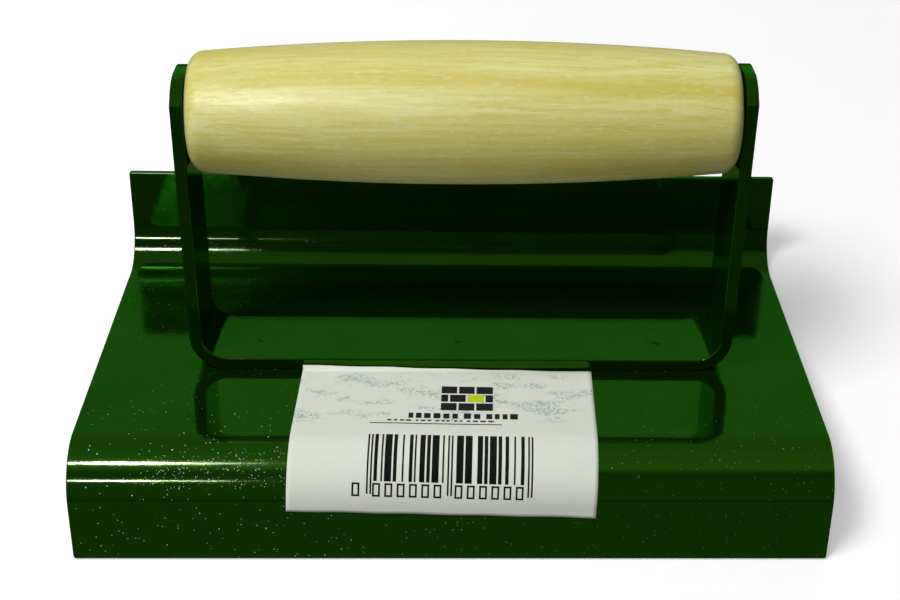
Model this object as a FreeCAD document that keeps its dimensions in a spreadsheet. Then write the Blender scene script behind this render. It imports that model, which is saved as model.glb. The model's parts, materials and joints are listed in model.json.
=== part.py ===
"""Hand tool that forms the edges of concrete steps and kerbs, in millimetres.

A pressed steel blade has a lip turned down over a rounded nose at the front and an
upstand turned up over a cove at the rear. A flat bar bent to a U is plug-welded to the
middle of the plate, and a turned wooden grip is held between its arms by a riveted rod.
A paper label is stuck over the nose.

Each piece is drawn with the plate level: X across the blade, Y from the outer face of
the lip to the rear, Z up from the top face of the plate. All pieces are then placed
together, so that the tool stands on its lip and its rear heel, as it does when put down.
"""

import FreeCAD
import Part
import math
import os
import Sketcher

DIMENSIONS = {
    # Blade: sheet steel with two right-angled bends.
    "blade_width": 150.0,
    "blade_depth": 88.0,
    "sheet_thickness": 1.5,
    "lip_drop": 23.0,
    "nose_radius": 10.5,
    "upstand_height": 21.5,
    "cove_radius": 8.5,
    "corner_radius": 0.5,
    "edge_rounding": 0.3,
    # Bracket: flat bar bent to a U, with its arms sprung slightly apart.
    "bar_width": 18.5,
    "bar_thickness": 2.5,
    "bracket_width": 113.5,
    "bracket_top_width": 114.7,
    "bend_radius": 5.0,
    "bracket_offset": 1.8,
    # The bar is bent off its middle, so the right arm is longer than the left one. The
    # corners of each end are cut off and the cuts blended into the top.
    "left_arm_height": 62.95,
    "right_arm_height": 64.55,
    "arm_end_cut": 4.1,
    "arm_end_blend": 8.0,
    # Plug welds: holes in the bar, filled with weld metal and ground almost flush.
    "weld_diameter": 4.4,
    "weld_spacing": 42.0,
    "weld_recess": 0.05,
    # Grip: a wooden barrel, bored for the rod.
    "grip_height": 54.6,
    "grip_rise": 0.43,
    "grip_length": 109.1,
    "grip_diameter": 28.7,
    "grip_end_diameter": 23.6,
    "grip_rounding": 3.0,
    "grip_bore": 6.3,
    # Tie rod: its ends are peened into countersinks, flush with the arms.
    "rod_diameter": 6.0,
    "rod_hole": 6.2,
    "rivet_head": 9.0,
    "countersink": 9.4,
    "rod_length": 114.5,
    # Label: paper that follows the plate, the nose and the lip.
    "label_width": 61.4,
    "label_offset": -1.8,
    "label_rear": 34.2,
    "label_drop": 12.6,
    "label_thickness": 0.15,
    "label_gap": 0.03,
}

WELD_PLACES = (-1, 0, 1)
SIDES = {"left": -1, "right": 1}
EDGE_TOLERANCE = 0.01
RIM_TOLERANCE = 0.1
PARALLEL = 0.999       # cosine between directions taken to be the same
SHARP = 0.5            # cosine below which two faces meet at a sharp edge

doc = FreeCAD.newDocument("step_tool")


def make_sheet():
    """Spreadsheet of the driving dimensions, one named cell each."""
    sheet = doc.addObject("Spreadsheet::Sheet", "Size")
    for row, (name, value) in enumerate(DIMENSIONS.items(), start=1):
        sheet.set(f"A{row}", name)
        sheet.set(f"B{row}", str(value))
        sheet.setAlias(f"B{row}", name)
    doc.recompute()
    return sheet


size = make_sheet()


def new_body(name):
    body = doc.addObject("PartDesign::Body", name)
    body.Label = name
    return body


def new_sketch(body, name, plane):
    """Sketch on one of the body's own origin planes."""
    sketch = body.newObject("Sketcher::SketchObject", name)
    support = next(item for item in body.Origin.OriginFeatures if item.Role == plane)
    sketch.AttachmentSupport = [(support, "")]
    sketch.MapMode = "FlatFace"
    return sketch


def locate(sketch, geometry, point, across, up):
    """Ties a point of the sketch to its origin by two distances from the sheet."""
    for kind, text in (("DistanceX", across), ("DistanceY", up)):
        distance = float(sketch.evalExpression(text))
        constraint = Sketcher.Constraint(kind, -1, 1, geometry, point, distance)
        index = sketch.addConstraint(constraint)
        sketch.setExpression(f"Constraints[{index}]", text)


def draw_outline(sketch, corners):
    """Closed outline of straight lines through corners given as sheet expressions."""
    points = []
    for across, up in corners:
        x = float(sketch.evalExpression(across))
        y = float(sketch.evalExpression(up))
        points.append(FreeCAD.Vector(x, y, 0))
    count = len(points)
    for index, start in enumerate(points):
        sketch.addGeometry(Part.LineSegment(start, points[(index + 1) % count]), False)
    for index in range(count):
        follower = (index + 1) % count
        sketch.addConstraint(Sketcher.Constraint("Coincident", index, 2, follower, 1))
    for index, (across, up) in enumerate(corners):
        locate(sketch, index, 1, across, up)


def draw_circle(sketch, across, up, diameter):
    """Circle whose centre and diameter come from the sheet."""
    centre = FreeCAD.Vector(
        float(sketch.evalExpression(across)), float(sketch.evalExpression(up)), 0
    )
    value = float(sketch.evalExpression(diameter))
    circle = Part.Circle(centre, FreeCAD.Vector(0, 0, 1), value / 2)
    index = sketch.addGeometry(circle, False)
    locate(sketch, index, 3, across, up)
    constraint = sketch.addConstraint(Sketcher.Constraint("Diameter", index, value))
    sketch.setExpression(f"Constraints[{constraint}]", diameter)


def pad_across(body, sketch, name, length):
    """Pad that grows the same way to both sides of its sketch."""
    pad = body.newObject("PartDesign::Pad", name)
    pad.Profile = sketch
    pad.Midplane = True
    pad.setExpression("Length", length)
    doc.recompute()


def cut_through(body, sketch, name):
    """Pocket through everything on both sides of its sketch."""
    before = body.Shape.Volume
    pocket = body.newObject("PartDesign::Pocket", name)
    pocket.Profile = sketch
    pocket.Type = "ThroughAll"
    pocket.Midplane = True
    doc.recompute()
    assert body.Shape.Volume < before, f"{name} cuts nothing"


def cut_one_side(body, sketch, name, side):
    """Pocket through everything on one side, -1 or 1 in X, of its sketch."""
    before = body.Shape.Volume
    pocket = body.newObject("PartDesign::Pocket", name)
    pocket.Profile = sketch
    pocket.Type = "ThroughAll"
    pocket.Reversed = side > 0
    doc.recompute()
    assert body.Shape.Volume < before, f"{name} cuts nothing"


def revolve(body, sketch, name):
    """Full turn of the sketch about its horizontal axis."""
    turned = body.newObject("PartDesign::Revolution", name)
    turned.Profile = sketch
    turned.ReferenceAxis = (sketch, ["H_Axis"])
    turned.Angle = 360
    doc.recompute()


def round_edges(body, name, radius, chosen, kind="PartDesign::Fillet"):
    """Fillet or chamfer of the edges that chosen() accepts."""
    base = body.Tip
    edges = [
        f"Edge{number}"
        for number, edge in enumerate(base.Shape.Edges, start=1)
        if chosen(edge)
    ]
    assert edges, f"{name} finds no edges"
    feature = body.newObject(kind, name)
    feature.Base = (base, edges)
    feature.setExpression("Radius" if kind.endswith("Fillet") else "Size", radius)
    doc.recompute()


def straight_at(axis, **place):
    """Test for a straight edge along an axis that passes through the given place."""

    def chosen(edge):
        start, end = (vertex.Point for vertex in (edge.Vertexes[0], edge.Vertexes[-1]))
        run = (end - start).normalize() if start != end else FreeCAD.Vector()
        if abs(getattr(run, axis)) < PARALLEL:
            return False
        middle = (start + end) / 2
        return all(
            abs(abs(getattr(middle, name)) - abs(value)) < EDGE_TOLERANCE
            for name, value in place.items()
        )

    return chosen


def rim_at(radius, outside):
    """Test for a round rim of about this radius that lies beyond a distance in X."""

    def chosen(edge):
        box = edge.BoundBox
        tall = abs(box.ZLength / 2 - radius) < RIM_TOLERANCE
        return tall and box.XLength < RIM_TOLERANCE and abs(box.Center.x) > outside

    return chosen


def sharp_in(body):
    """Test for an edge of the body where two of its faces meet sharply."""
    shape = body.Tip.Shape

    def outward(face, point):
        return face.normalAt(*face.Surface.parameter(point))

    def chosen(edge):
        middle = edge.valueAt((edge.FirstParameter + edge.LastParameter) / 2)
        faces = shape.ancestorsOfType(edge, Part.Face)
        if len(faces) != 2:
            return False
        one, other = (outward(face, middle) for face in faces)
        return one.dot(other) < SHARP

    return chosen


def make_blade():
    """Sheet bent down at the nose and up at the cove."""
    body = new_body("blade")
    sketch = new_sketch(body, "blade_section", "YZ_Plane")
    inner_depth = "Size.blade_depth - Size.sheet_thickness"
    draw_outline(
        sketch,
        [
            ("0", "-Size.lip_drop"),
            ("0", "0"),
            (inner_depth, "0"),
            (inner_depth, "Size.upstand_height"),
            ("Size.blade_depth", "Size.upstand_height"),
            ("Size.blade_depth", "-Size.sheet_thickness"),
            ("Size.sheet_thickness", "-Size.sheet_thickness"),
            ("Size.sheet_thickness", "-Size.lip_drop"),
        ],
    )
    pad_across(body, sketch, "blade_sheet", "Size.blade_width")
    thickness = size.sheet_thickness
    depth = size.blade_depth
    bends = [
        ("nose", "Size.nose_radius", 0, 0),
        ("nose_inside", "Size.nose_radius - Size.sheet_thickness", thickness, thickness),
        ("cove", "Size.cove_radius", depth - thickness, 0),
        ("heel", "Size.cove_radius + Size.sheet_thickness", depth, thickness),
    ]
    for name, radius, across, up in bends:
        round_edges(body, name, radius, straight_at("x", y=across, z=up))
    half = size.blade_width / 2
    for name, height in (("lip_corners", size.lip_drop), ("upstand_corners", size.upstand_height)):
        round_edges(body, name, "Size.corner_radius", straight_at("y", x=half, z=height))
    round_edges(body, "blade_edges", "Size.edge_rounding", sharp_in(body))
    return body


def make_bracket():
    """Flat bar bent to a U, with cut arm ends, rod holes and plug weld holes."""
    body = new_body("bracket")
    sketch = new_sketch(body, "bracket_section", "XZ_Plane")
    foot = "Size.bracket_width / 2"
    tip = "Size.bracket_top_width / 2"
    bar = "Size.bar_thickness"
    left = "Size.left_arm_height"
    right = "Size.right_arm_height"
    draw_outline(
        sketch,
        [
            (f"-{foot}", "0"),
            (foot, "0"),
            (tip, right),
            (f"{tip} - {bar}", right),
            (f"{foot} - {bar}", bar),
            (f"{bar} - {foot}", bar),
            (f"{bar} - {tip}", left),
            (f"-{tip}", left),
        ],
    )
    pad_across(body, sketch, "bracket_bar", "Size.bar_width")
    half_foot = size.bracket_width / 2
    thickness = size.bar_thickness
    inside = straight_at("y", x=half_foot - thickness, z=thickness)
    round_edges(body, "bends_inside", "Size.bend_radius", inside)
    outside = straight_at("y", x=half_foot, z=0)
    round_edges(body, "bends_outside", f"Size.bend_radius + {bar}", outside)
    half_bar = size.bar_width / 2
    for name, top in (("left", size.left_arm_height), ("right", size.right_arm_height)):
        corners = straight_at("x", y=half_bar, z=top)
        round_edges(body, f"{name}_cuts", "Size.arm_end_cut", corners, "PartDesign::Chamfer")
        blends = straight_at("x", y=half_bar - size.arm_end_cut, z=top)
        round_edges(body, f"{name}_blends", "Size.arm_end_blend", blends)
    round_edges(body, "bar_edges", "Size.edge_rounding", sharp_in(body))
    for name, side in SIDES.items():
        circle = new_sketch(body, f"{name}_rod_circle", "YZ_Plane")
        height = f"Size.grip_height + {side} * Size.grip_rise"
        draw_circle(circle, "0", height, "Size.rod_hole")
        cut_one_side(body, circle, f"{name}_rod_hole", side)
    sink = "(Size.countersink - Size.rod_hole) / 2"
    rims = rim_at(size.rod_hole / 2, half_foot - thickness / 2)
    round_edges(body, "countersinks", sink, rims, kind="PartDesign::Chamfer")

    weld_sketch = new_sketch(body, "weld_circles", "XY_Plane")
    for place in WELD_PLACES:
        draw_circle(weld_sketch, f"{place} * Size.weld_spacing", "0", "Size.weld_diameter")
    cut_through(body, weld_sketch, "weld_holes")
    return body


def make_plug_welds():
    """Discs of weld metal that fill the holes in the bar and sit on the plate."""
    discs = []
    for number, place in enumerate(WELD_PLACES, start=1):
        disc = doc.addObject("Part::Cylinder", f"plug_weld_{number}")
        disc.setExpression("Radius", "Size.weld_diameter / 2")
        disc.setExpression("Height", "Size.bar_thickness - Size.weld_recess")
        disc.setExpression("Placement.Base.x", f"{place} * Size.weld_spacing")
        discs.append(disc)
    group = doc.addObject("Part::Compound", "plug_welds")
    group.Label = "plug_welds"
    group.Links = discs
    return group


def make_grip():
    """Barrel turned about X, bored through, with rounded ends."""
    body = new_body("grip")
    sketch = new_sketch(body, "grip_section", "XZ_Plane")
    half = "Size.grip_length / 2"
    bore = "Size.grip_bore / 2"
    shoulder = "Size.grip_end_diameter / 2"
    left = -size.grip_length / 2
    right = size.grip_length / 2
    inner = size.grip_bore / 2
    end = size.grip_end_diameter / 2
    crest = FreeCAD.Vector(0, size.grip_diameter / 2, 0)
    corners = [
        FreeCAD.Vector(left, inner, 0),
        FreeCAD.Vector(right, inner, 0),
        FreeCAD.Vector(right, end, 0),
        FreeCAD.Vector(left, end, 0),
    ]
    sketch.addGeometry(Part.LineSegment(corners[0], corners[1]), False)
    sketch.addGeometry(Part.LineSegment(corners[1], corners[2]), False)
    barrel = sketch.addGeometry(Part.Arc(corners[2], crest, corners[3]), False)
    sketch.addGeometry(Part.LineSegment(corners[3], corners[0]), False)
    crest_point = sketch.addGeometry(Part.Point(crest), True)
    for index in range(4):
        sketch.addConstraint(Sketcher.Constraint("Coincident", index, 2, (index + 1) % 4, 1))
    locate(sketch, 0, 1, f"-{half}", bore)
    locate(sketch, 1, 1, half, bore)
    locate(sketch, barrel, 1, half, shoulder)
    locate(sketch, 3, 1, f"-{half}", shoulder)
    locate(sketch, crest_point, 1, "0", "Size.grip_diameter / 2")
    sketch.addConstraint(Sketcher.Constraint("PointOnObject", crest_point, 1, barrel))
    revolve(body, sketch, "grip_barrel")
    round_edges(body, "grip_ends", "Size.grip_rounding", rim_at(end, right - 1))
    return body


def make_tie_rod():
    """Rod with a countersunk head peened on each end."""
    body = new_body("tie_rod")
    sketch = new_sketch(body, "rod_section", "XZ_Plane")
    half = "Size.rod_length / 2"
    rod = "Size.rod_diameter / 2"
    head = "Size.rivet_head / 2"
    neck = f"{half} - ({head} - {rod})"
    draw_outline(
        sketch,
        [
            (f"-{half}", "0"),
            (half, "0"),
            (half, head),
            (neck, rod),
            (f"-({neck})", rod),
            (f"-{half}", head),
        ],
    )
    revolve(body, sketch, "rod_bar")
    return body


def make_label():
    """Thin paper that lies on the plate and wraps over the nose onto the lip."""
    body = new_body("label")
    sketch = new_sketch(body, "label_section", "YZ_Plane")
    gap = "Size.label_gap"
    face = "(Size.label_gap + Size.label_thickness)"
    draw_outline(
        sketch,
        [
            ("Size.label_rear", gap),
            (f"-{gap}", gap),
            (f"-{gap}", "-Size.label_drop"),
            (f"-{face}", "-Size.label_drop"),
            (f"-{face}", face),
            ("Size.label_rear", face),
        ],
    )
    pad_across(body, sketch, "label_paper", "Size.label_width")
    under = size.label_gap
    over = size.label_gap + size.label_thickness
    round_edges(body, "label_inside", f"Size.nose_radius + {gap}", straight_at("x", y=under, z=under))
    round_edges(body, "label_outside", f"Size.nose_radius + {face}", straight_at("x", y=over, z=over))
    return body


def rest_pose():
    """Placement of the level tool that stands it on its lip and its rear heel.

    The floor touches the lip's rounded inner bottom edge and the round underside of the
    heel.
    The origin is the middle of the tool's footprint.
    """
    rounding = size.edge_rounding
    toe_y = size.sheet_thickness - rounding
    toe_z = rounding - size.lip_drop
    heel_radius = size.cove_radius + size.sheet_thickness
    heel_y = size.blade_depth - heel_radius
    heel_z = heel_radius - size.sheet_thickness
    run = heel_y - toe_y
    rise = heel_z - toe_z
    tilt = math.acos((heel_radius - rounding) / math.hypot(run, rise)) - math.atan2(run, rise)
    cosine, sine = math.cos(tilt), math.sin(tilt)
    front = rounding * cosine + toe_z * sine - rounding
    top_y = size.blade_depth - rounding
    top_z = size.upstand_height - rounding
    rear = top_y * cosine + top_z * sine + rounding
    lift = toe_y * sine - toe_z * cosine + rounding
    shift = FreeCAD.Vector(0, -(front + rear) / 2, lift)
    turn = FreeCAD.Rotation(FreeCAD.Vector(1, 0, 0), -math.degrees(tilt))
    return FreeCAD.Placement(shift, turn)


def moved(x, y, z, lean=0.0):
    """Placement that turns a piece by lean degrees about Y and then moves it."""
    turn = FreeCAD.Rotation(FreeCAD.Vector(0, 1, 0), lean)
    return FreeCAD.Placement(FreeCAD.Vector(x, y, z), turn)


rod_lean = -math.degrees(math.atan2(2 * size.grip_rise, size.rod_length))
pieces = {
    make_blade(): moved(0, 0, 0),
    make_bracket(): moved(size.bracket_offset, size.blade_depth / 2, 0),
    make_plug_welds(): moved(size.bracket_offset, size.blade_depth / 2, 0),
    make_grip(): moved(
        size.bracket_offset, size.blade_depth / 2, size.grip_height, rod_lean
    ),
    make_tie_rod(): moved(
        size.bracket_offset, size.blade_depth / 2, size.grip_height, rod_lean
    ),
    make_label(): moved(size.label_offset, 0, 0),
}
pose = rest_pose()
for piece, place in pieces.items():
    piece.Placement = pose.multiply(place)
doc.recompute()

for item in doc.Objects:
    assert "Invalid" not in item.State and "Error" not in item.State, item.Name
for piece in pieces:
    assert not piece.Shape.isNull() and piece.Shape.isValid(), piece.Label

os.makedirs("parts", exist_ok=True)
for piece in pieces:
    piece.Shape.exportStep(os.path.join("parts", f"{piece.Label}.step"))
    box = piece.Shape.BoundBox
    print(piece.Label, round(piece.Shape.Volume, 1), [round(v, 2) for v in (
        box.XMin, box.XMax, box.YMin, box.YMax, box.ZMin, box.ZMax)])
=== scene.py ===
"""Looks of the concrete step and kerb tool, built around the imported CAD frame.

The blade, bracket, grip and tie rod stay as the CAD made them, with procedural finishes.
The plug welds and the label are modelled again here. The print on the label and the beads
of spatter under the paint are pieces of their own.
"""

import json
import math
import random

import bmesh
import bpy
from mathutils import Matrix, Vector

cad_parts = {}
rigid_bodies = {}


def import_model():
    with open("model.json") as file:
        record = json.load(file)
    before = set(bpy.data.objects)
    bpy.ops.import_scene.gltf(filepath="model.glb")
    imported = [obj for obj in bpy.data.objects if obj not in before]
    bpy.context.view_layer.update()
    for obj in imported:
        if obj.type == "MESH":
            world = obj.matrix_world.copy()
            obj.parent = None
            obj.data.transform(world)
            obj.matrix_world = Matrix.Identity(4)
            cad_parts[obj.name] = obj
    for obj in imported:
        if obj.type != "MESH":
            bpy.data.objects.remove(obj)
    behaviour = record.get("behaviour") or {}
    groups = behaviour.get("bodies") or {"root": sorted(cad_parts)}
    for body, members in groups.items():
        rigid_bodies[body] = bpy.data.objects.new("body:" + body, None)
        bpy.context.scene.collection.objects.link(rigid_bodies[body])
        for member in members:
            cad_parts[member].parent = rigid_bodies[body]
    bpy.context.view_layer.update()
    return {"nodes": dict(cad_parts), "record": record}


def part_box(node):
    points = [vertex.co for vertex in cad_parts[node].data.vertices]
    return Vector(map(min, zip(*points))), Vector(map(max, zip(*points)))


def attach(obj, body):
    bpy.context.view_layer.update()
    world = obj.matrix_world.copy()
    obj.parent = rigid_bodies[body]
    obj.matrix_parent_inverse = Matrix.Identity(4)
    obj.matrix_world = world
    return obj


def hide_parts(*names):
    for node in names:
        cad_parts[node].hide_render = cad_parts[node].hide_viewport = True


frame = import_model()

MM = 0.001
SHEET = 1.5            # gauge of the blade, mm
NOSE_RADIUS = 10.5     # outer radius of the front bend, mm
BAR_FRONT = 34.75      # front face of the flat bar, mm behind the lip's face
BAR_REAR = 53.25       # its rear face, likewise
BAR_TOP = 2.5          # top face of the flat bar above the plate, mm


# --- The blade's own frame -----------------------------------------------------------
# X runs across, Y from the lip's outer face to the rear, Z up from the plate's top.

def mount(name):
    """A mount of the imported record."""
    return next(m for m in frame["record"]["mounts"] if m["name"] == name)


ACROSS = Vector((1, 0, 0))
REARWARD = Vector(mount("lip_inner_face")["axis"]).normalized()
UPWARD = -Vector(mount("sole")["axis"]).normalized()
ORIGIN = (
    REARWARD * (REARWARD.dot(Vector(mount("lip_inner_face")["pos_m"])) - SHEET * MM)
    + UPWARD * (UPWARD.dot(Vector(mount("sole")["pos_m"])) + SHEET * MM)
)


def place(x, y, z):
    """The point of the row frame, in metres, at these millimetres of the blade's frame."""
    return ORIGIN + (ACROSS * x + REARWARD * y + UPWARD * z) * MM


# --- Mesh helpers ---------------------------------------------------------------------

def piece(name, vertices, faces, slot, smooth=True):
    """A new mesh piece that rides on the tool's one body."""
    mesh = bpy.data.meshes.new(name)
    mesh.from_pydata([tuple(v) for v in vertices], [], faces)
    mesh.validate()
    work = bmesh.new()
    work.from_mesh(mesh)
    bmesh.ops.recalc_face_normals(work, faces=work.faces)
    work.to_mesh(mesh)
    work.free()
    mesh.polygons.foreach_set("use_smooth", [smooth] * len(mesh.polygons))
    obj = bpy.data.objects.new(name, mesh)
    bpy.context.scene.collection.objects.link(obj)
    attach(obj, "root")
    return obj


def shell(rows, columns, top, bottom):
    """Vertices and faces of a thin closed sheet: two grids and the walls around them.

    top and bottom give the point at a row and column of the grid.
    """
    vertices, faces = [], []
    for side in (top, bottom):
        vertices += [side(r, c) for r in range(rows) for c in range(columns)]
    half = rows * columns

    def at(r, c, lower=0):
        return lower * half + r * columns + c

    for lower in (0, 1):
        for r in range(rows - 1):
            for c in range(columns - 1):
                faces.append(
                    (at(r, c, lower), at(r, c + 1, lower),
                     at(r + 1, c + 1, lower), at(r + 1, c, lower))
                )
    rim = [(0, c) for c in range(columns - 1)]
    rim += [(r, columns - 1) for r in range(rows - 1)]
    rim += [(rows - 1, c) for c in range(columns - 1, 0, -1)]
    rim += [(r, 0) for r in range(rows - 1, 0, -1)]
    for a, b in zip(rim, rim[1:] + rim[:1]):
        faces.append((at(*a), at(*b), at(*b, 1), at(*a, 1)))
    return vertices, faces


def joined(parts):
    """The vertices and faces of several closed shapes, as one list each."""
    vertices, faces = [], []
    for more_vertices, more_faces in parts:
        start = len(vertices)
        vertices += more_vertices
        faces += [tuple(start + i for i in face) for face in more_faces]
    return vertices, faces


def circle(x, y, reach, steps, height):
    """Points around (x, y) of the blade's frame. height gives z at each angle, mm."""
    angles = [2 * math.pi * step / steps for step in range(steps)]
    return [
        place(x + reach(a) * math.cos(a), y + reach(a) * math.sin(a), height(a))
        for a in angles
    ]


def fan_and_bands(bands, steps):
    """Faces from vertex 0 to a first ring of vertices, and between the rings after it."""
    faces = [(0, 1 + i, 1 + (i + 1) % steps) for i in range(steps)]
    for band in range(bands):
        a, b = 1 + band * steps, 1 + (band + 1) * steps
        for i in range(steps):
            j = (i + 1) % steps
            faces.append((a + i, b + i, b + j, a + j))
    return faces


def fan_below(bands, steps):
    """Faces from the last ring to the one vertex that follows it."""
    foot = 1 + bands * steps
    last = foot + steps
    return [(foot + i, last, foot + (i + 1) % steps) for i in range(steps)]


# --- Label ----------------------------------------------------------------------------
# Print and paper are laid out as u mm across from the label's middle and w mm down from
# its rear edge.

LABEL_CENTRE = -1.3    # its middle, mm to the right of the blade's middle
LABEL_REAR = 24.3      # the rear edge's middle, mm behind the nose's tangent line
LABEL_WIDTH = 60.7
LABEL_LENGTH = 42.3
LABEL_TURN = math.radians(1.45)
PAPER = 0.12           # its thickness
PAPER_COLUMNS = 76
PAPER_ROWS = 72
KNIFE_WANDER = 0.06    # how far the trimmed edges stray, mm
GLUE_GAP = 0.03
BUCKLE = 0.05          # how high the paper's waves stand
SIDE_CURL = 0.10       # how high its side edges lift, over SIDE_CURL_REACH mm
SIDE_CURL_REACH = 5.0
FRONT_CURL = 0.08
FRONT_CURL_REACH = 4.0
CLIMB_START = 23.5     # where the paper leaves the plate to climb the flat bar
CLIMB_RADIUS = 0.5
INK_TOP = 0.022        # a film of ink runs from INK_FOOT to INK_TOP above the paper
INK_FOOT = 0.006
INK_ROW = 0.8          # the longest side of a film's mesh cells, down and across
INK_COLUMN = 1.6

CODE_MODULES = 95      # width of a stock code: guards of 3, 5 and 3, two halves of 42
CODE_HALF = 42
OUTER_GUARD = [1, 0, 1]
MIDDLE_GUARD = [0, 1, 0, 1, 0]


def skin(s, lift):
    """(y, z) of the blade's frame, s mm behind the nose's tangent line along the
    outer face and lift mm off it. Behind CLIMB_START the line bends up the bar."""
    if s > CLIMB_START:
        turn = (s - CLIMB_START) / CLIMB_RADIUS
        if turn > math.pi / 2:
            return (
                NOSE_RADIUS + CLIMB_START + CLIMB_RADIUS - lift,
                CLIMB_RADIUS + s - CLIMB_START - CLIMB_RADIUS * math.pi / 2,
            )
        reach = CLIMB_RADIUS - lift
        return (
            NOSE_RADIUS + CLIMB_START + reach * math.sin(turn),
            CLIMB_RADIUS - reach * math.cos(turn),
        )
    if s >= 0:
        return NOSE_RADIUS + s, lift
    turn = -s / NOSE_RADIUS
    if turn > math.pi / 2:
        return -lift, -NOSE_RADIUS - (-s - NOSE_RADIUS * math.pi / 2)
    reach = NOSE_RADIUS + lift
    return (
        NOSE_RADIUS - reach * math.sin(turn),
        -NOSE_RADIUS + reach * math.cos(turn),
    )


def buckle(u, w):
    """How far the paper stands off the glue, mm, at u across and w down the label."""
    wave = (
        0.5 + 0.5 * math.sin(0.21 * u + 0.9) * math.cos(0.16 * w + 0.31 * math.sin(0.2 * u))
    )
    side = max(0.0, abs(u) - (LABEL_WIDTH / 2 - SIDE_CURL_REACH)) / SIDE_CURL_REACH
    front = max(0.0, w - (LABEL_LENGTH - FRONT_CURL_REACH)) / FRONT_CURL_REACH
    curl = SIDE_CURL * side ** 2 * (0.6 + 0.4 * math.sin(0.35 * w)) + FRONT_CURL * front ** 2
    return BUCKLE * wave + curl


def on_label(u, w, height):
    """The point height mm above the paper's glued face, u mm across from the label's
    middle and w mm down from its rear edge."""
    x = LABEL_CENTRE + u * math.cos(LABEL_TURN) - w * math.sin(LABEL_TURN)
    s = LABEL_REAR - u * math.sin(LABEL_TURN) - w * math.cos(LABEL_TURN)
    y, z = skin(s, GLUE_GAP + buckle(u, w) + height)
    return place(x, y, z)


def paper_sheet():
    """The paper: a closed sheet trimmed by a slightly wavy knife line."""
    def uv(r, c):
        u = (c / (PAPER_COLUMNS - 1) - 0.5) * LABEL_WIDTH
        w = r / (PAPER_ROWS - 1) * LABEL_LENGTH
        wander = KNIFE_WANDER * math.sin(0.45 * u + 1.0)
        return u, w + wander * (2 * r / (PAPER_ROWS - 1) - 1)

    return shell(
        PAPER_ROWS, PAPER_COLUMNS,
        lambda r, c: on_label(*uv(r, c), PAPER),
        lambda r, c: on_label(*uv(r, c), 0.0),
    )


def printed(u0, u1, w0, w1):
    """A closed film of ink on the paper, from u0 to u1 and w0 to w1."""
    rows = max(2, int((w1 - w0) / INK_ROW) + 2)
    columns = max(2, int((u1 - u0) / INK_COLUMN) + 2)

    def point(r, c, height):
        u = u0 + (u1 - u0) * (c / (columns - 1))
        w = w0 + (w1 - w0) * r / (rows - 1)
        return on_label(u, w, PAPER + height)

    return shell(
        rows, columns,
        lambda r, c: point(r, c, INK_TOP),
        lambda r, c: point(r, c, INK_FOOT),
    )


def stock_code(left, right, top, bottom, guard_drop, chance):
    """A made-up stock code: guard bars at both ends and the middle, and random bars
    between them, which spell nothing."""
    module = (right - left) / CODE_MODULES
    first = len(OUTER_GUARD)
    middle = first + CODE_HALF
    last = CODE_MODULES - first
    pattern = list(OUTER_GUARD)
    for guard in (MIDDLE_GUARD, OUTER_GUARD):
        run = []
        while len(run) < CODE_HALF:
            run += [0] * chance.choice((1, 1, 1, 2, 3)) + [1] * chance.choice((1, 2, 2, 3, 4))
        pattern += run[:CODE_HALF] + guard
    bars, start = [], None
    for i, dark in enumerate(pattern + [0]):
        if dark and start is None:
            start = i
        elif not dark and start is not None:
            is_guard = start < first or start >= last
            is_guard = is_guard or middle <= start < middle + len(MIDDLE_GUARD)
            bars.append(
                printed(
                    left + start * module,
                    left + i * module,
                    top,
                    bottom + (guard_drop if is_guard else 0.0),
                )
            )
            start = None
    return bars


def block_line(left, right, top, height, widths, gaps, chance):
    """A row of plain blocks that stands for a line of small print."""
    blocks, u = [], left
    while u < right - widths[0]:
        wide = min(chance.uniform(*widths), right - u)
        low = chance.uniform(0.0, 0.12) * height
        blocks.append(printed(u, u + wide, top + low, top + height))
        u += wide + chance.choice(gaps)
    return blocks


# --- Materials ------------------------------------------------------------------------

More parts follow.
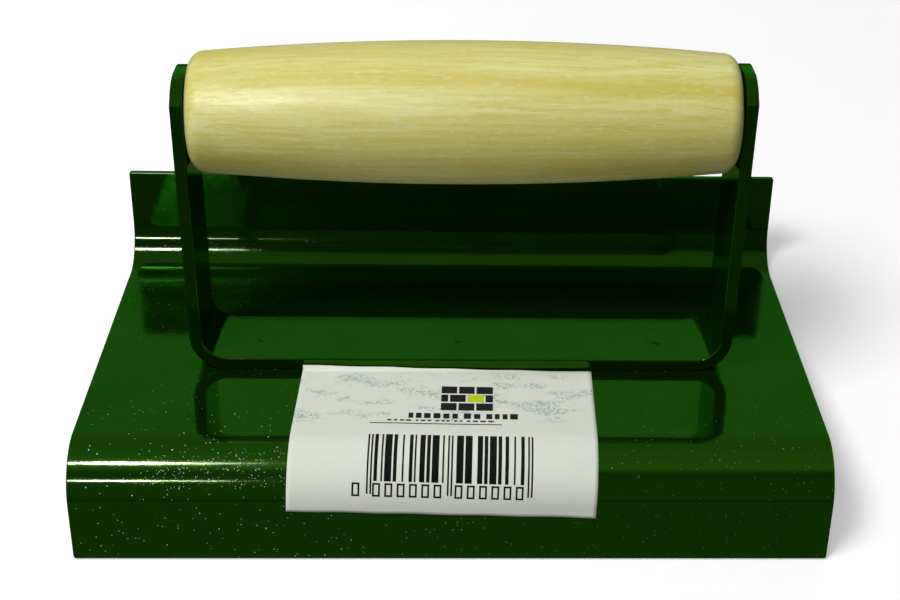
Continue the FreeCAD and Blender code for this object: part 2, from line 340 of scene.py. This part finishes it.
class Finish:
    """A procedural material under construction, in millimetres of a chosen frame."""

    def __init__(self, name, tilt=True):
        self.material = bpy.data.materials.new(name)
        self.material.use_nodes = True
        self.tree = self.material.node_tree
        self.tree.nodes.clear()
        self.output = self.add("ShaderNodeOutputMaterial")
        self.shader = self.add("ShaderNodeBsdfPrincipled")
        self.link(self.shader.outputs[0], self.output.inputs["Surface"])
        coordinates = self.add("ShaderNodeTexCoord")
        mapping = self.add("ShaderNodeMapping")
        mapping.vector_type = "POINT"
        mapping.inputs["Scale"].default_value = (1 / MM,) * 3
        if tilt:
            lean = math.atan2(UPWARD.y, UPWARD.z)
            turn = Matrix.Rotation(lean, 3, "X")
            mapping.inputs["Rotation"].default_value = (lean, 0, 0)
            mapping.inputs["Location"].default_value = -(turn @ ORIGIN) / MM
        self.link(coordinates.outputs["Object"], mapping.inputs["Vector"])
        self.position = mapping.outputs["Vector"]

    def add(self, kind, **settings):
        node = self.tree.nodes.new(kind)
        for key, value in settings.items():
            setattr(node, key, value)
        return node

    def link(self, source, target):
        self.tree.links.new(source, target)

    def feed(self, target, value):
        """Links a socket, or sets a plain number."""
        if isinstance(value, bpy.types.NodeSocket):
            self.link(value, target)
        else:
            target.default_value = value

    def stretch(self, scale, shift=(0, 0, 0)):
        """The position, scaled along each axis."""
        node = self.add("ShaderNodeMapping", vector_type="POINT")
        node.inputs["Scale"].default_value = scale
        node.inputs["Location"].default_value = shift
        self.link(self.position, node.inputs["Vector"])
        return node.outputs["Vector"]

    def noise(self, scale, detail=2.0, roughness=0.5, distortion=0.0, vector=None):
        """Cloudy noise, about 0.2 to 0.8, with scale features to the mm."""
        node = self.add("ShaderNodeTexNoise")
        self.link(self.position if vector is None else vector, node.inputs["Vector"])
        node.inputs["Scale"].default_value = scale
        node.inputs["Detail"].default_value = detail
        node.inputs["Roughness"].default_value = roughness
        node.inputs["Distortion"].default_value = distortion
        return node.outputs["Fac"]

    def cells(self, scale):
        """Random cells: the distance from each one's middle, and its number, 0 to 1."""
        node = self.add("ShaderNodeTexVoronoi")
        self.link(self.position, node.inputs["Vector"])
        node.inputs["Scale"].default_value = scale
        number = self.add("ShaderNodeSeparateColor")
        self.link(node.outputs["Color"], number.inputs[0])
        return node.outputs["Distance"], number.outputs[0]

    def maths(self, operation, a, b, clamp=False):
        node = self.add("ShaderNodeMath", operation=operation, use_clamp=clamp)
        self.feed(node.inputs[0], a)
        self.feed(node.inputs[1], b)
        return node.outputs[0]

    def times(self, a, b):
        return self.maths("MULTIPLY", a, b)

    def span(self, value, low, high, to_low=0.0, to_high=1.0, smooth=False):
        """value from low..high to to_low..to_high, clamped."""
        node = self.add(
            "ShaderNodeMapRange",
            interpolation_type="SMOOTHSTEP" if smooth else "LINEAR",
            clamp=True,
        )
        self.feed(node.inputs["Value"], value)
        for key, number in (
            ("From Min", low), ("From Max", high), ("To Min", to_low), ("To Max", to_high)
        ):
            node.inputs[key].default_value = number
        return node.outputs["Result"]

    def blend(self, amount, a, b):
        """A colour between a and b."""
        node = self.add("ShaderNodeMix", data_type="RGBA")
        self.feed(node.inputs[0], amount)
        for socket, value in ((node.inputs[6], a), (node.inputs[7], b)):
            if isinstance(value, bpy.types.NodeSocket):
                self.link(value, socket)
            else:
                socket.default_value = (*value, 1.0)
        return node.outputs[2]

    def axis(self, index):
        """One coordinate of the position, in mm: 0 across, 1 rearward, 2 up."""
        node = self.add("ShaderNodeSeparateXYZ")
        self.link(self.position, node.inputs[0])
        return node.outputs[index]

    def bump(self, height, depth, strength, before=None):
        """A bump whose height runs from 0 to 1 over depth metres."""
        node = self.add("ShaderNodeBump")
        node.inputs["Strength"].default_value = strength
        node.inputs["Distance"].default_value = depth
        self.link(height, node.inputs["Height"])
        if before is not None:
            self.link(before, node.inputs["Normal"])
        return node.outputs["Normal"]

    def finish(self, colour, roughness, normal, **plain):
        """Links the varying inputs and sets the plain ones on the shader itself."""
        self.feed(self.shader.inputs["Base Color"], colour)
        self.feed(self.shader.inputs["Roughness"], roughness)
        self.link(normal, self.shader.inputs["Normal"])
        for key, value in plain.items():
            self.shader.inputs[key.replace("_", " ")].default_value = value
        return self.material


METAL = 0.85           # how much of the enamel's body reflects like green metal
DEEP_GREEN = (0.0135, 0.084, 0.0006)
LEAF_GREEN = (0.0150, 0.098, 0.0008)
SHADE_GREEN = (0.0125, 0.070, 0.0006)
# Painted light: the next green is brighter than the enamel's own, and stands in for light on
# the lip's outer face.
PAINTED_LIP_LIGHT_GREEN = (0.026, 0.170, 0.002)
EDGE_GREEN = (0.45, 1.0, 0.10, 1.0)
DUST_GREY = (0.74, 0.80, 0.70)
ENAMEL_GLOSS = (0.07, 0.12)
DULL_REAR = 0.13       # roughness added over the rear of the plate
DUST_ROUGHNESS = 0.4   # and on the dust
DUST_COVER = 0.8       # how much of the enamel's colour a speck hides

# Where the enamel changes, mm from the lip's face or from the blade's middle: each
# pair runs from none to all, or from all to least.
# The next pair spreads painted light: the enamel turns to a brighter green towards the lip's
# face.
PAINTED_LIP_LIGHT_RANGE = (9.0, 0.5)
REAR_DULLS = (50.0, 62.0)
REAR_DULL_ENDS = (79.0, 75.0)
DUST_THINS_REARWARD = (6.0, 30.0)
DUST_THINS_RIGHTWARD = (-35.0, 30.0)
LEAST_DUST_REARWARD = 0.25
LEAST_DUST_RIGHTWARD = 0.35
DRIFT_STARTS, DRIFT_ENDS = (0.2, 1.2), (9.0, 3.5)      # rearward
DRIFT_LEFT, DRIFT_RIGHT = (-72.0, -56.0), (10.0, -40.0)

# Layers of dust: cells to the mm, a speck's core and edge as distances from its cell's
# middle, its strength, and its share of the dust.
COARSE_DUST = (0.55, 0.05, 0.10, 1.0, 1.0)
FINE_DUST = (1.3, 0.10, 0.17, 0.9, 0.8)
GRAINS = 3.4
GRAIN_SIZE = (0.20, 0.34)
GRAIN_SHARE = 0.36     # how much the drift raises a grain's number
GRAIN_CHOSEN = (1.15, 1.17)
CHOOSING = 0.02        # width of the step between a chosen cell's number and the rest

FIBRE_PALE = (0.85, 0.83, 0.36)
FIBRE_HONEY = (0.70, 0.61, 0.120)
PORE_BROWN = (0.50, 0.40, 0.10)
FLECK_PALE = (0.86, 0.83, 0.50)

PAPER_WHITE = (0.885, 0.915, 0.825)
PAPER_SHADE = (0.81, 0.855, 0.745)
PAPER_SMUDGE = (0.74, 0.76, 0.66)
RUBBED_INK = (0.33, 0.50, 0.48)
RUB_STARTS, RUB_ENDS = (12.0, 17.0), (34.0, 31.0)      # mm from the lip's face


def dust_specks(f, dust):
    """Where dust lies, 0 to 1: mostly around the nose and on the tool's left half."""
    near_nose = f.times(
        f.span(f.axis(1), *DUST_THINS_REARWARD, 1.0, LEAST_DUST_REARWARD),
        f.span(f.axis(0), *DUST_THINS_RIGHTWARD, 1.0, LEAST_DUST_RIGHTWARD),
    )

    def layer(density, core, edge, strength, share):
        distance, number = f.cells(density)
        least = 1 - share * dust
        chosen = f.span(number, least, least + CHOOSING)
        return f.times(f.times(f.span(distance, core, edge, strength, 0.0), chosen), near_nose)

    speck = f.maths("MAXIMUM", layer(*COARSE_DUST), layer(*FINE_DUST))
    # A drift of very fine dust along the nose, to the right of the tool's left end.
    drift = f.times(
        f.times(f.span(f.axis(1), *DRIFT_STARTS), f.span(f.axis(1), *DRIFT_ENDS)),
        f.times(f.span(f.axis(0), *DRIFT_LEFT), f.span(f.axis(0), *DRIFT_RIGHT)),
    )
    distance, number = f.cells(GRAINS)
    raised = f.maths("ADD", number, f.times(drift, GRAIN_SHARE))
    grain = f.times(f.span(distance, *GRAIN_SIZE, 1.0, 0.0), f.span(raised, *GRAIN_CHOSEN))
    return f.maths("MAXIMUM", speck, grain)


def enamel(name, dust, seed):
    """Glossy green stove enamel: mottled colour, orange peel, and specks of dust. Its
    body reflects green, and a thin clear skin over it gives the lamps' white glints."""
    f = Finish(name)
    cloud = f.noise(0.07, 3.0, vector=f.stretch((1, 1, 1), (seed * 17.0, 0, 0)))
    mottle = f.noise(1.1, 3.0, 0.6)
    speck = dust_specks(f, dust)
    green = f.blend(f.span(cloud, 0.35, 0.65), DEEP_GREEN, LEAF_GREEN)
    green = f.blend(f.span(mottle, 0.30, 0.75, 0.0, 0.35), green, SHADE_GREEN)
    # Painted light: towards the lip's face the green is brightened, in place of light falling
    # there.
    green = f.blend(f.span(f.axis(1), *PAINTED_LIP_LIGHT_RANGE), green, PAINTED_LIP_LIGHT_GREEN)
    colour = f.blend(f.times(speck, DUST_COVER), green, DUST_GREY)

    smear = f.noise(0.16, 4.0, 0.65, 0.6)
    rear = f.times(f.span(f.axis(1), *REAR_DULLS), f.span(f.axis(1), *REAR_DULL_ENDS))
    gloss = f.span(smear, 0.35, 0.75, *ENAMEL_GLOSS)
    gloss = f.maths("ADD", gloss, f.times(rear, DULL_REAR))
    gloss = f.maths("ADD", gloss, f.times(speck, DUST_ROUGHNESS), clamp=True)

    peel = f.bump(f.noise(0.42, 2.0, 0.5), 0.00003, 0.5)
    fine_peel = f.bump(f.noise(2.2, 2.0, 0.5), 0.000004, 0.6, peel)
    grit = f.bump(speck, 0.00005, 0.6, fine_peel)
    f.link(f.span(speck, 0.0, 1.0, METAL, 0.0), f.shader.inputs["Metallic"])
    return f.finish(
        colour, gloss, grit, Specular_Tint=EDGE_GREEN,
        Specular_IOR_Level=0.0, Coat_Weight=0.06, Coat_Roughness=0.07,
    )


def turned_wood():
    """Pale turned hardwood: long fibres, short pore lines, broad bands, satin lacquer."""
    f = Finish("turned_wood", tilt=False)
    fibre = f.noise(1.0, 6.0, 0.62, 0.25, vector=f.stretch((0.045, 1.1, 1.1)))
    band = f.noise(1.0, 3.0, 0.55, 0.4, vector=f.stretch((0.010, 0.16, 0.16), (3, 0, 0)))
    pore = f.noise(1.0, 2.0, 0.5, vector=f.stretch((0.33, 5.2, 5.2), (0, 7, 0)))
    fleck = f.noise(1.0, 2.0, 0.5, vector=f.stretch((0.55, 1.6, 1.6), (5, 0, 2)))
    colour = f.blend(f.span(band, 0.34, 0.66), FIBRE_HONEY, FIBRE_PALE)
    colour = f.blend(f.span(fibre, 0.36, 0.60, 0.75, 0.0), colour, FIBRE_HONEY)
    colour = f.blend(f.span(fleck, 0.56, 0.70, 0.0, 0.35), colour, FLECK_PALE)
    colour = f.blend(f.span(pore, 0.60, 0.74, 0.0, 0.45), colour, PORE_BROWN)
    rough = f.span(fibre, 0.3, 0.7, 0.50, 0.36)
    grain = f.bump(fibre, 0.00006, 0.6)
    grain = f.bump(f.span(pore, 0.55, 0.75, 1.0, 0.0), 0.00004, 0.6, grain)
    return f.finish(
        colour, rough, grain, IOR=1.45, Coat_Weight=0.25, Coat_Roughness=0.36
    )


def paper():
    """Matt white label paper, with fibres, a faint print-through and handling marks."""
    f = Finish("label_paper")
    fibres = f.noise(4.0, 5.0, 0.7, 0.5)
    cloud = f.noise(0.22, 3.0, 0.6)
    white = f.blend(f.span(fibres, 0.3, 0.7), PAPER_SHADE, PAPER_WHITE)
    # Ink rubbed off on the rear half of the paper.
    y = f.axis(1)
    rear = f.times(
        f.span(y, *RUB_STARTS, smooth=True), f.span(y, *RUB_ENDS, smooth=True)
    )
    patches = f.noise(0.17, 2.0, 0.5, vector=f.stretch((0.6, 1.3, 1), (9, 0, 0)))
    grains = f.noise(1.5, 4.0, 0.7)
    rub = f.times(f.span(patches, 0.50, 0.60), f.span(grains, 0.45, 0.58))
    rub = f.times(rub, rear)
    colour = f.blend(f.times(rub, 0.85), white, RUBBED_INK)
    colour = f.blend(f.span(cloud, 0.5, 0.8, 0.0, 0.25), colour, PAPER_SMUDGE)
    rough = f.span(fibres, 0.3, 0.7, 0.68, 0.52)
    return f.finish(colour, rough, f.bump(fibres, 0.00002, 0.5), IOR=1.45)


def ink(name, dark, light):
    """Printing ink that lets a little of the paper's tooth through."""
    f = Finish(name)
    tooth = f.noise(5.0, 3.0, 0.6)
    colour = f.blend(f.span(tooth, 0.45, 0.75), dark, light)
    rough = f.span(tooth, 0.3, 0.7, 0.38, 0.56)
    return f.finish(
        colour, rough, f.bump(tooth, 0.00001, 0.4), IOR=1.45, Specular_IOR_Level=0.25
    )


def pale_floor():
    """A plain pale paper sweep with a faint tooth, lifted a little by its own light."""
    f = Finish("studio_floor", tilt=False)
    tooth = f.noise(0.35, 3.0, 0.6)
    colour = f.blend(f.span(tooth, 0.3, 0.7), (0.83, 0.83, 0.83), (0.86, 0.86, 0.86))
    return f.finish(
        colour, 0.9, f.bump(tooth, 0.00005, 0.2),
        Emission_Color=(1, 1, 1, 1), Emission_Strength=0.38, Specular_IOR_Level=0.0,
    )


# --- Dressing the CAD nodes -----------------------------------------------------------

def dress(name, material):
    """Gives a CAD node its material."""
    node = frame["nodes"][name]
    node.data.materials.clear()
    node.data.materials.append(material)


dress("blade", enamel("blade_enamel", 0.30, 1))
dress("bracket", enamel("bracket_enamel", 0.12, 2))
dress("tie_rod", enamel("rod_enamel", 0.08, 3))
dress("grip", turned_wood())
weld_enamel = enamel("weld_enamel", 0.05, 4)
dress("plug_welds", weld_enamel)
label_paper = paper()
dress("label", label_paper)


# --- Plug welds -----------------------------------------------------------------------

WELD_RADIUS = 2.2      # radius of the holes in the bar
WELD_SPREAD = 1.25     # the ground face runs out over the edge of the hole
WELD_CROWN = 0.022     # how far the middle stands proud of the bar
WELD_RIM = 0.012       # the spread metal's lower face is this far inside the bar's top
PIT_DEPTH = 0.13
PIT_PLACE = 0.62       # where the pit's crescent lies, as a share of the face's radius
PIT_WIDTH = 0.10       # its width, as the same share
PIT_SWEEP = 0.55       # its length, radians
FACE_SINK = 0.002      # the ground face's rim is this far below the bar's top
FACE_RIPPLE = 0.006    # height of the grinding ripples
WELD_RINGS = 16
WELD_STEPS = 56


def weld_pool(x, y, radius, low, high, chance):
    """A closed plug, ground almost flush, whose face keeps a shallow crescent pit."""
    pit_angle = chance.uniform(3.4, 4.6)

    def face(share, angle):
        crown = high + WELD_CROWN * (1 - share ** 2) - FACE_SINK
        ripple = FACE_RIPPLE * math.sin(11 * share + 2.0 * math.sin(angle + pit_angle))
        across = (share - PIT_PLACE) / PIT_WIDTH
        along = math.remainder(angle - pit_angle, 2 * math.pi) / PIT_SWEEP
        pit = PIT_DEPTH * math.exp(-(across ** 2) - along ** 2)
        return crown + ripple * (1 - share) - pit

    vertices = [place(x, y, face(0, 0))]
    for ring in range(1, WELD_RINGS + 1):
        share = ring / WELD_RINGS
        vertices += circle(
            x, y, lambda a: radius * WELD_SPREAD * share, WELD_STEPS,
            lambda a: face(share, a),
        )
    rim = high - WELD_RIM
    for reach, depth in ((radius * WELD_SPREAD, rim), (radius, rim), (radius, low)):
        vertices += circle(x, y, lambda a: reach, WELD_STEPS, lambda a: depth)
    vertices.append(place(x, y, low))
    bands = WELD_RINGS + 2
    return vertices, fan_and_bands(bands, WELD_STEPS) + fan_below(bands, WELD_STEPS)


def plug_welds():
    """The three plugs, where the CAD has them."""
    low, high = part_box("plug_welds")
    left, right = low.x / MM + WELD_RADIUS, high.x / MM - WELD_RADIUS
    middle_y = (BAR_FRONT + BAR_REAR) / 2
    chance = random.Random(11)
    plugs = [
        weld_pool(x, middle_y, WELD_RADIUS, 0.0, BAR_TOP, chance)
        for x in (left, (left + right) / 2, right)
    ]
    obj = piece("weld_pools", *joined(plugs), "weld_paint")
    obj.data.materials.append(weld_enamel)
    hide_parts("plug_welds")


plug_welds()


# --- Spatter beads under the paint ------------------------------------------------------

BEAD_RINGS = 8
BEAD_STEPS = 14
BEADS_IN_FRONT = 26    # along the foot of the bar's front face
BEADS_BEHIND = 12
BEADS_ON_TOP = 7
CLEAR_OF_BENDS = 9.0   # the beads stop this far inside the bar's ends
BEAD_FLATNESS = 0.8    # height over width of the beads at the foot
TOP_FLATNESS = 0.6     # and of those on the bar
BEAD_SWELL = 0.08      # how far a bead is from round, as a share of its radius
TOP_MARGIN_X = 6       # room left around the beads on the bar's top face
TOP_MARGIN_Y = 2


def bead(x, y, z, radius, flat, chance):
    """A squashed, slightly lumpy ball, sunk into the face that it sits on."""
    phase = chance.uniform(0, 6.28)
    vertices = [place(x, y, z + radius * flat)]
    for ring in range(1, BEAD_RINGS):
        tilt = math.pi * ring / BEAD_RINGS
        vertices += circle(
            x, y,
            lambda a: radius * (1 + BEAD_SWELL * math.sin(2 * a + phase)) * math.sin(tilt),
            BEAD_STEPS,
            lambda a: z + radius * flat * math.cos(tilt),
        )
    vertices.append(place(x, y, z - radius * flat))
    bands = BEAD_RINGS - 2
    return vertices, fan_and_bands(bands, BEAD_STEPS) + fan_below(bands, BEAD_STEPS)


def spatter():
    """Beads of weld metal and paint along the foot of the flat bar and on its top."""
    chance = random.Random(29)
    low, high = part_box("bracket")
    left, right = low.x / MM + CLEAR_OF_BENDS, high.x / MM - CLEAR_OF_BENDS
    beads = []
    for count, bar_face, way, smallest, largest in (
        (BEADS_IN_FRONT, BAR_FRONT, -0.5, 0.16, 0.42),
        (BEADS_BEHIND, BAR_REAR, 0.5, 0.14, 0.34),
    ):
        for i in range(count):
            x = left + (right - left) * (i + chance.uniform(0.1, 0.9)) / count
            size = chance.uniform(smallest, largest)
            beads.append(bead(x, bar_face + way * size, 0.0, size, BEAD_FLATNESS, chance))
    for _ in range(BEADS_ON_TOP):
        x = chance.uniform(left + TOP_MARGIN_X, right - TOP_MARGIN_X)
        y = chance.uniform(BAR_FRONT + TOP_MARGIN_Y, BAR_REAR - TOP_MARGIN_Y)
        size = chance.uniform(0.12, 0.26)
        beads.append(bead(x, y, BAR_TOP, size, TOP_FLATNESS, chance))
    obj = piece("spatter_beads", *joined(beads), "bracket_paint")
    obj.data.materials.append(enamel("spatter_enamel", 0.02, 5))


spatter()


# --- Label and its print ----------------------------------------------------------------

sheet = piece("label_sheet", *paper_sheet(), "label_paper")
sheet.data.materials.append(label_paper)
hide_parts("label")

BLACK = ink("black_ink", (0.003, 0.004, 0.003), (0.014, 0.016, 0.013))
LIME = ink("lime_ink", (0.60, 0.72, 0.004), (0.68, 0.80, 0.015))

CODE_LEFT, CODE_RIGHT = -14.9, 17.6
CODE_TOP, CODE_BOTTOM = 25.3, 35.6
GUARD_DROP = 2.5       # how much longer the guard bars are
BOX_TOP = 35.95
BOX_HEIGHT = 2.7
BOX_STROKE = 0.36      # width of the boxes' lines
BOXES_PER_HALF = 6

EMBLEM_TOP = 7.0
COURSE_PITCH = 3.2
BRICK_HEIGHT = 2.7
HALF_JOINT = 0.2       # half the gap between two bricks
WHOLE_COURSE = [-1.2, 2.4, 6.0, 9.8]           # where bricks meet along a course
SHIFTED_COURSE = [-1.2, 0.6, 4.2, 7.9, 9.8]
LIME_BRICK = (1, 2)    # its course, and its place in that course


def code_boxes(left, right, top, height):
    """Hollow boxes below the stock code: one before it and six under each half."""
    pitch = (right - left) / 13.6
    wide, stroke = 0.64 * pitch, BOX_STROKE
    middle = (left + right) / 2
    starts = [left - 2.8]
    for first in (left + 1.2, middle + 1.0):
        starts += [first + k * pitch for k in range(BOXES_PER_HALF)]
    films = []
    for u in starts:
        films += [
            printed(u, u + stroke, top, top + height),
            printed(u + wide - stroke, u + wide, top, top + height),
            printed(u + stroke, u + wide - stroke, top, top + stroke),
            printed(u + stroke, u + wide - stroke, top + height - stroke, top + height),
        ]
    return films


def print_on_label():
    """The stock code, the rows of blocks that stand for print, and a brick emblem."""
    chance = random.Random(7)
    black = stock_code(CODE_LEFT, CODE_RIGHT, CODE_TOP, CODE_BOTTOM, GUARD_DROP, chance)
    black += code_boxes(CODE_LEFT, CODE_RIGHT, BOX_TOP, BOX_HEIGHT)
    # The emblem: three courses of plain bricks, one of them lime.
    lime = []
    for course, edges in enumerate((WHOLE_COURSE, SHIFTED_COURSE, WHOLE_COURSE)):
        top = EMBLEM_TOP + course * COURSE_PITCH
        for k, (a, b) in enumerate(zip(edges, edges[1:])):
            brick = printed(a + HALF_JOINT, b - HALF_JOINT, top, top + BRICK_HEIGHT)
            (lime if (course, k) == LIME_BRICK else black).append(brick)
    # Two lines of small print and the rule below them.
    black += block_line(-7.4, 16.6, 17.2, 2.0, (0.9, 1.6), (0.5, 0.6, 1.2), chance)
    black += block_line(-11.6, 10.4, 19.8, 0.55, (0.5, 1.1), (0.35, 0.5, 0.9), chance)
    black.append(printed(-15.0, 11.4, 21.1, 21.4))
    dark = piece("label_print_black", *joined(black), "label_paper", smooth=False)
    dark.data.materials.append(BLACK)
    bright = piece("label_print_lime", *joined(lime), "label_paper", smooth=False)
    bright.data.materials.append(LIME)


print_on_label()


# --- Studio -----------------------------------------------------------------------------

TENT_WALL = 0.63       # brightness of the tent's walls in reflections
TENT_ROOF = 0.42
TENT_TABLE = 0.12
FRONT_FLAG = 0.15      # share of it left in front, where the camera stands
MATT_FILL = 0.15       # even light on matt surfaces

# Where the tent changes, as coordinates of a direction of length 1.
ROOF_EDGE = (0.45, 0.85)         # from the walls up to the roof
TABLE_EDGE = (-0.06, 0.02)       # from below the table's level up to the walls
FLAG_FRONT = (-0.15, -0.5)       # from the flag's rear edge forwards
FLAG_SIDES = (0.75, 0.35)        # from either side inwards
FLAG_FOOT = (-0.14, -0.08)
FLAG_TOP = (0.99, 0.80)

# The windows, in millimetres of the blade's frame.
WINDOW_OVERHEAD = (-184.0, -279.6, 543.6)
WINDOW_FRONT = (-187.0, -543.5, 245.3)
SIDE_OVERHEAD = (-138.0, -279.6, 543.6)
SIDE_FRONT = (-144.0, -543.5, 245.3)
WINDOW_TINT = (0.24, 0.055, 1.0)
WINDOW_AIM = (-60, 10, 0)

# Lamps in the row frame, in metres and watts: place, size, power.
SOFT_LAMPS = {
    "key_overhead": ((-0.38, -0.16, 0.84), (0.40, 0.30), 6.0),
    "fill_front": ((-0.36, -1.00, 0.50), (1.0, 0.5), 1.8),
    "fill_rear": ((0.30, 1.10, 0.60), (1.0, 0.5), 1.6),
}
SHEEN_LAMP = ((-0.24, -0.26, 0.52), (0.24, 0.20), 3.2)
SHEEN_AIM = (-0.03, 0, 0.06)
WINDOWS = {
    "window_overhead": (WINDOW_OVERHEAD, (0.050, 0.055), 9.0),
    "window_front": (WINDOW_FRONT, (0.042, 0.016), 2.3),
    "side_overhead": (SIDE_OVERHEAD, (0.040, 0.050), 0.7),
    "side_front": (SIDE_FRONT, (0.042, 0.014), 0.45),
}

FLOOR_RADII = (0.2, 0.5, 1.0, 2.0, 4.0)
FLOOR_STEPS = 64

# The camera, in the blade's frame: mm and degrees.
CAMERA_PLACE = (-2.625, -262.206, 178.815)
CAMERA_AZIMUTH, CAMERA_FALL, CAMERA_ROLL = 2.638, 28.572, 1.643
SENSOR_WIDTH = 36.0
LENS = 65.53
SHIFT_X = -0.0645


def studio_floor():
    """A round, level sweep of pale paper under the tool."""
    vertices = [(0, 0, 0)]
    for radius in FLOOR_RADII:
        for step in range(FLOOR_STEPS):
            angle = 2 * math.pi * step / FLOOR_STEPS
            vertices.append((radius * math.cos(angle), radius * math.sin(angle), 0))
    faces = fan_and_bands(len(FLOOR_RADII) - 1, FLOOR_STEPS)
    mesh = bpy.data.meshes.new("studio_floor")
    mesh.from_pydata(vertices, [], faces)
    floor = bpy.data.objects.new("studio_floor", mesh)
    bpy.context.scene.collection.objects.link(floor)
    mesh.materials.append(pale_floor())
    floor.visible_glossy = False
    floor.visible_diffuse = False


def softbox(name, where, size, power, aim=(0, 0, 0.02), glossy=True):
    """A rectangular softbox at where, metres, that faces aim."""
    data = bpy.data.lights.new(name, "AREA")
    data.shape = "RECTANGLE"
    data.size, data.size_y = size
    data.energy = power
    light = bpy.data.objects.new(name, data)
    light.location = where
    light.rotation_euler = (Vector(aim) - Vector(where)).to_track_quat("-Z", "Y").to_euler()
    light.visible_glossy = glossy
    bpy.context.scene.collection.objects.link(light)
    return light


def studio_lights():
    """Soft lamps that light matt surfaces, and small windows that only the enamel's
    gloss shows. The windows are tinted so that green enamel mirrors them as white."""
    for name, (where, size, power) in SOFT_LAMPS.items():
        softbox(name, where, size, power, glossy=False)
    enamelled, wooden = (bpy.data.collections.new(n) for n in ("enamelled", "wooden"))
    for obj in bpy.context.scene.objects:
        for slot in obj.material_slots if obj.type == "MESH" else ():
            if slot.material and "enamel" in slot.material.name:
                enamelled.objects.link(obj)
            elif slot.material and "wood" in slot.material.name:
                wooden.objects.link(obj)
    sheen = softbox("sheen", *SHEEN_LAMP, aim=SHEEN_AIM)
    sheen.visible_diffuse = False
    sheen.light_linking.receiver_collection = wooden
    for name, (where, size, power) in WINDOWS.items():
        lamp = softbox(name, place(*where), size, power, aim=place(*WINDOW_AIM))
        lamp.visible_diffuse = False
        lamp.data.color = WINDOW_TINT
        lamp.light_linking.receiver_collection = enamelled


def studio_world():
    """White to the camera and a dim even fill to matt surfaces. Gloss sees a pale tent:
    bright at the sides and the rear, dimmer overhead, dark in front where the camera
    stands, and dim below the table's level."""
    world = bpy.data.worlds.new("studio")
    bpy.context.scene.world = world
    world.use_nodes = True
    tree = world.node_tree
    tree.nodes.clear()

    def add(kind, **settings):
        node = tree.nodes.new(kind)
        for key, value in settings.items():
            setattr(node, key, value)
        return node

    def span(value, low, high, to_low=0.0, to_high=1.0):
        node = add("ShaderNodeMapRange", interpolation_type="SMOOTHSTEP", clamp=True)
        tree.links.new(value, node.inputs["Value"])
        for key, number in (
            ("From Min", low), ("From Max", high), ("To Min", to_low), ("To Max", to_high)
        ):
            node.inputs[key].default_value = number
        return node.outputs["Result"]

    def times(a, b):
        node = add("ShaderNodeMath", operation="MULTIPLY")
        tree.links.new(a, node.inputs[0])
        tree.links.new(b, node.inputs[1])
        return node.outputs[0]

    direction = add("ShaderNodeSeparateXYZ")
    tree.links.new(add("ShaderNodeTexCoord").outputs["Generated"], direction.inputs[0])
    x, y, z = direction.outputs
    spread = add("ShaderNodeMath", operation="ABSOLUTE")
    tree.links.new(x, spread.inputs[0])
    tent = span(z, *ROOF_EDGE, TENT_WALL, TENT_ROOF)
    above = span(z, *TABLE_EDGE, TENT_TABLE / TENT_WALL, 1.0)
    front = times(
        times(span(y, *FLAG_FRONT), span(spread.outputs[0], *FLAG_SIDES)),
        times(span(z, *FLAG_FOOT), span(z, *FLAG_TOP)),
    )
    flag = span(front, 0.0, 1.0, 1.0, FRONT_FLAG)
    strength = times(times(tent, above), flag)

    path = add("ShaderNodeLightPath")
    backdrop, fill, gloss = (add("ShaderNodeBackground") for _ in range(3))
    backdrop.inputs["Strength"].default_value = 1.0
    fill.inputs["Strength"].default_value = MATT_FILL
    tree.links.new(strength, gloss.inputs["Strength"])
    inner, outer = add("ShaderNodeMixShader"), add("ShaderNodeMixShader")
    tree.links.new(path.outputs["Is Glossy Ray"], inner.inputs[0])
    tree.links.new(fill.outputs[0], inner.inputs[1])
    tree.links.new(gloss.outputs[0], inner.inputs[2])
    tree.links.new(path.outputs["Is Camera Ray"], outer.inputs[0])
    tree.links.new(inner.outputs[0], outer.inputs[1])
    tree.links.new(backdrop.outputs[0], outer.inputs[2])
    tree.links.new(outer.outputs[0], add("ShaderNodeOutputWorld").inputs["Surface"])


def studio_camera():
    """The camera: a little left of the middle, looking down from the front. Its place
    and angles are given in the blade's frame."""
    azimuth, fall, roll = (
        math.radians(angle) for angle in (CAMERA_AZIMUTH, CAMERA_FALL, CAMERA_ROLL)
    )
    level = ACROSS * math.cos(azimuth) - REARWARD * math.sin(azimuth)
    ahead = ACROSS * math.sin(azimuth) + REARWARD * math.cos(azimuth)
    forward = ahead * math.cos(fall) - UPWARD * math.sin(fall)
    upright = level.cross(forward)
    right = level * math.cos(roll) + upright * math.sin(roll)
    up = upright * math.cos(roll) - level * math.sin(roll)
    data = bpy.data.cameras.new("camera")
    data.sensor_width = SENSOR_WIDTH
    data.lens = LENS
    data.shift_x = SHIFT_X
    data.clip_start = 0.01
    camera = bpy.data.objects.new("camera", data)
    turn = Matrix((right, up, -forward)).transposed().to_4x4()
    camera.matrix_world = Matrix.Translation(place(*CAMERA_PLACE)) @ turn
    bpy.context.scene.collection.objects.link(camera)
    bpy.context.scene.camera = camera


studio_floor()
studio_lights()
studio_world()
studio_camera()
bpy.context.scene.view_settings.view_transform = "Standard"
